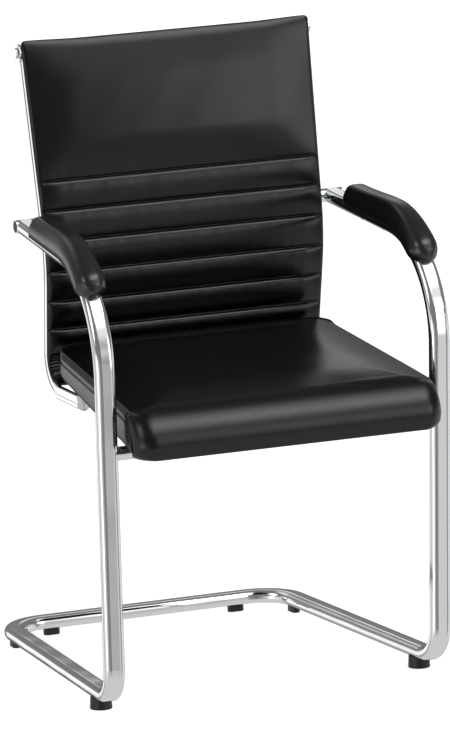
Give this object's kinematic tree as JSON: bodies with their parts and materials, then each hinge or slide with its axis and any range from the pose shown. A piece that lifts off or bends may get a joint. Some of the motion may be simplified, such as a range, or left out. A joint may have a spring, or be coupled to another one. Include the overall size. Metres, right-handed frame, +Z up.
{
  "type": "visitor chair",
  "caption": "Sled-base visitor chair: bent flat-oval chrome tube frame, padded arms, black leather seat and a ribbed leather back carried between two flat chrome rails.",
  "frame": {"origin": "on the floor, in the middle of the chair's width and depth", "axes": "+Z up, the sitter faces -Y, +X is towards the sitter's left hand and to the right in the picture"},
  "size_m": [0.5476, 0.652, 0.9168],
  "materials": {
    "chrome": "polished chrome plate on steel tube and flat bar",
    "black_leather": "satin black leather over foam",
    "black_foam_skin": "smooth self-skinned black polyurethane foam",
    "black_plastic": "moulded black plastic",
    "plywood": "raw pressed plywood",
    "dust_fabric": "black non-woven lining",
    "zinc_steel": "bright zinc-plated steel"
  },
  "bodies": {
    "root": {"arm_bolt_cap_left": "black_plastic", "arm_bolt_cap_right": "black_plastic", "arm_bolts": "zinc_steel", "arm_pad_left": "black_foam_skin", "arm_pad_plate_left": "zinc_steel", "arm_pad_plate_right": "zinc_steel", "arm_pad_right": "black_foam_skin", "arm_pad_screws": "zinc_steel", "arm_sleeve_left": "chrome", "arm_sleeve_right": "chrome", "back_mid_spreader": "zinc_steel", "back_panel": "black_leather", "back_panel_screws": "zinc_steel", "back_rail_left": "chrome", "back_rail_right": "chrome", "back_top_spreader": "zinc_steel", "crossbar_glide_left": "black_plastic", "crossbar_glide_right": "black_plastic", "crossbar_joint_sleeve": "zinc_steel", "foot_screws": "zinc_steel", "frame_tube_left": "chrome", "frame_tube_right": "chrome", "front_foot_left": "black_plastic", "front_foot_right": "black_plastic", "rail_glide_left": "black_plastic", "rail_glide_right": "black_plastic", "rail_spacers": "zinc_steel", "rail_top_bolts": "chrome", "seat_board": "plywood", "seat_bolts": "zinc_steel", "seat_cross_tube": "chrome", "seat_cushion": "black_leather", "seat_dust_cover": "dust_fabric", "seat_tab_left": "chrome", "seat_tab_right": "chrome", "seat_tee_nuts": "zinc_steel", "spreader_inserts": "zinc_steel"}
  },
  "joints": []
}
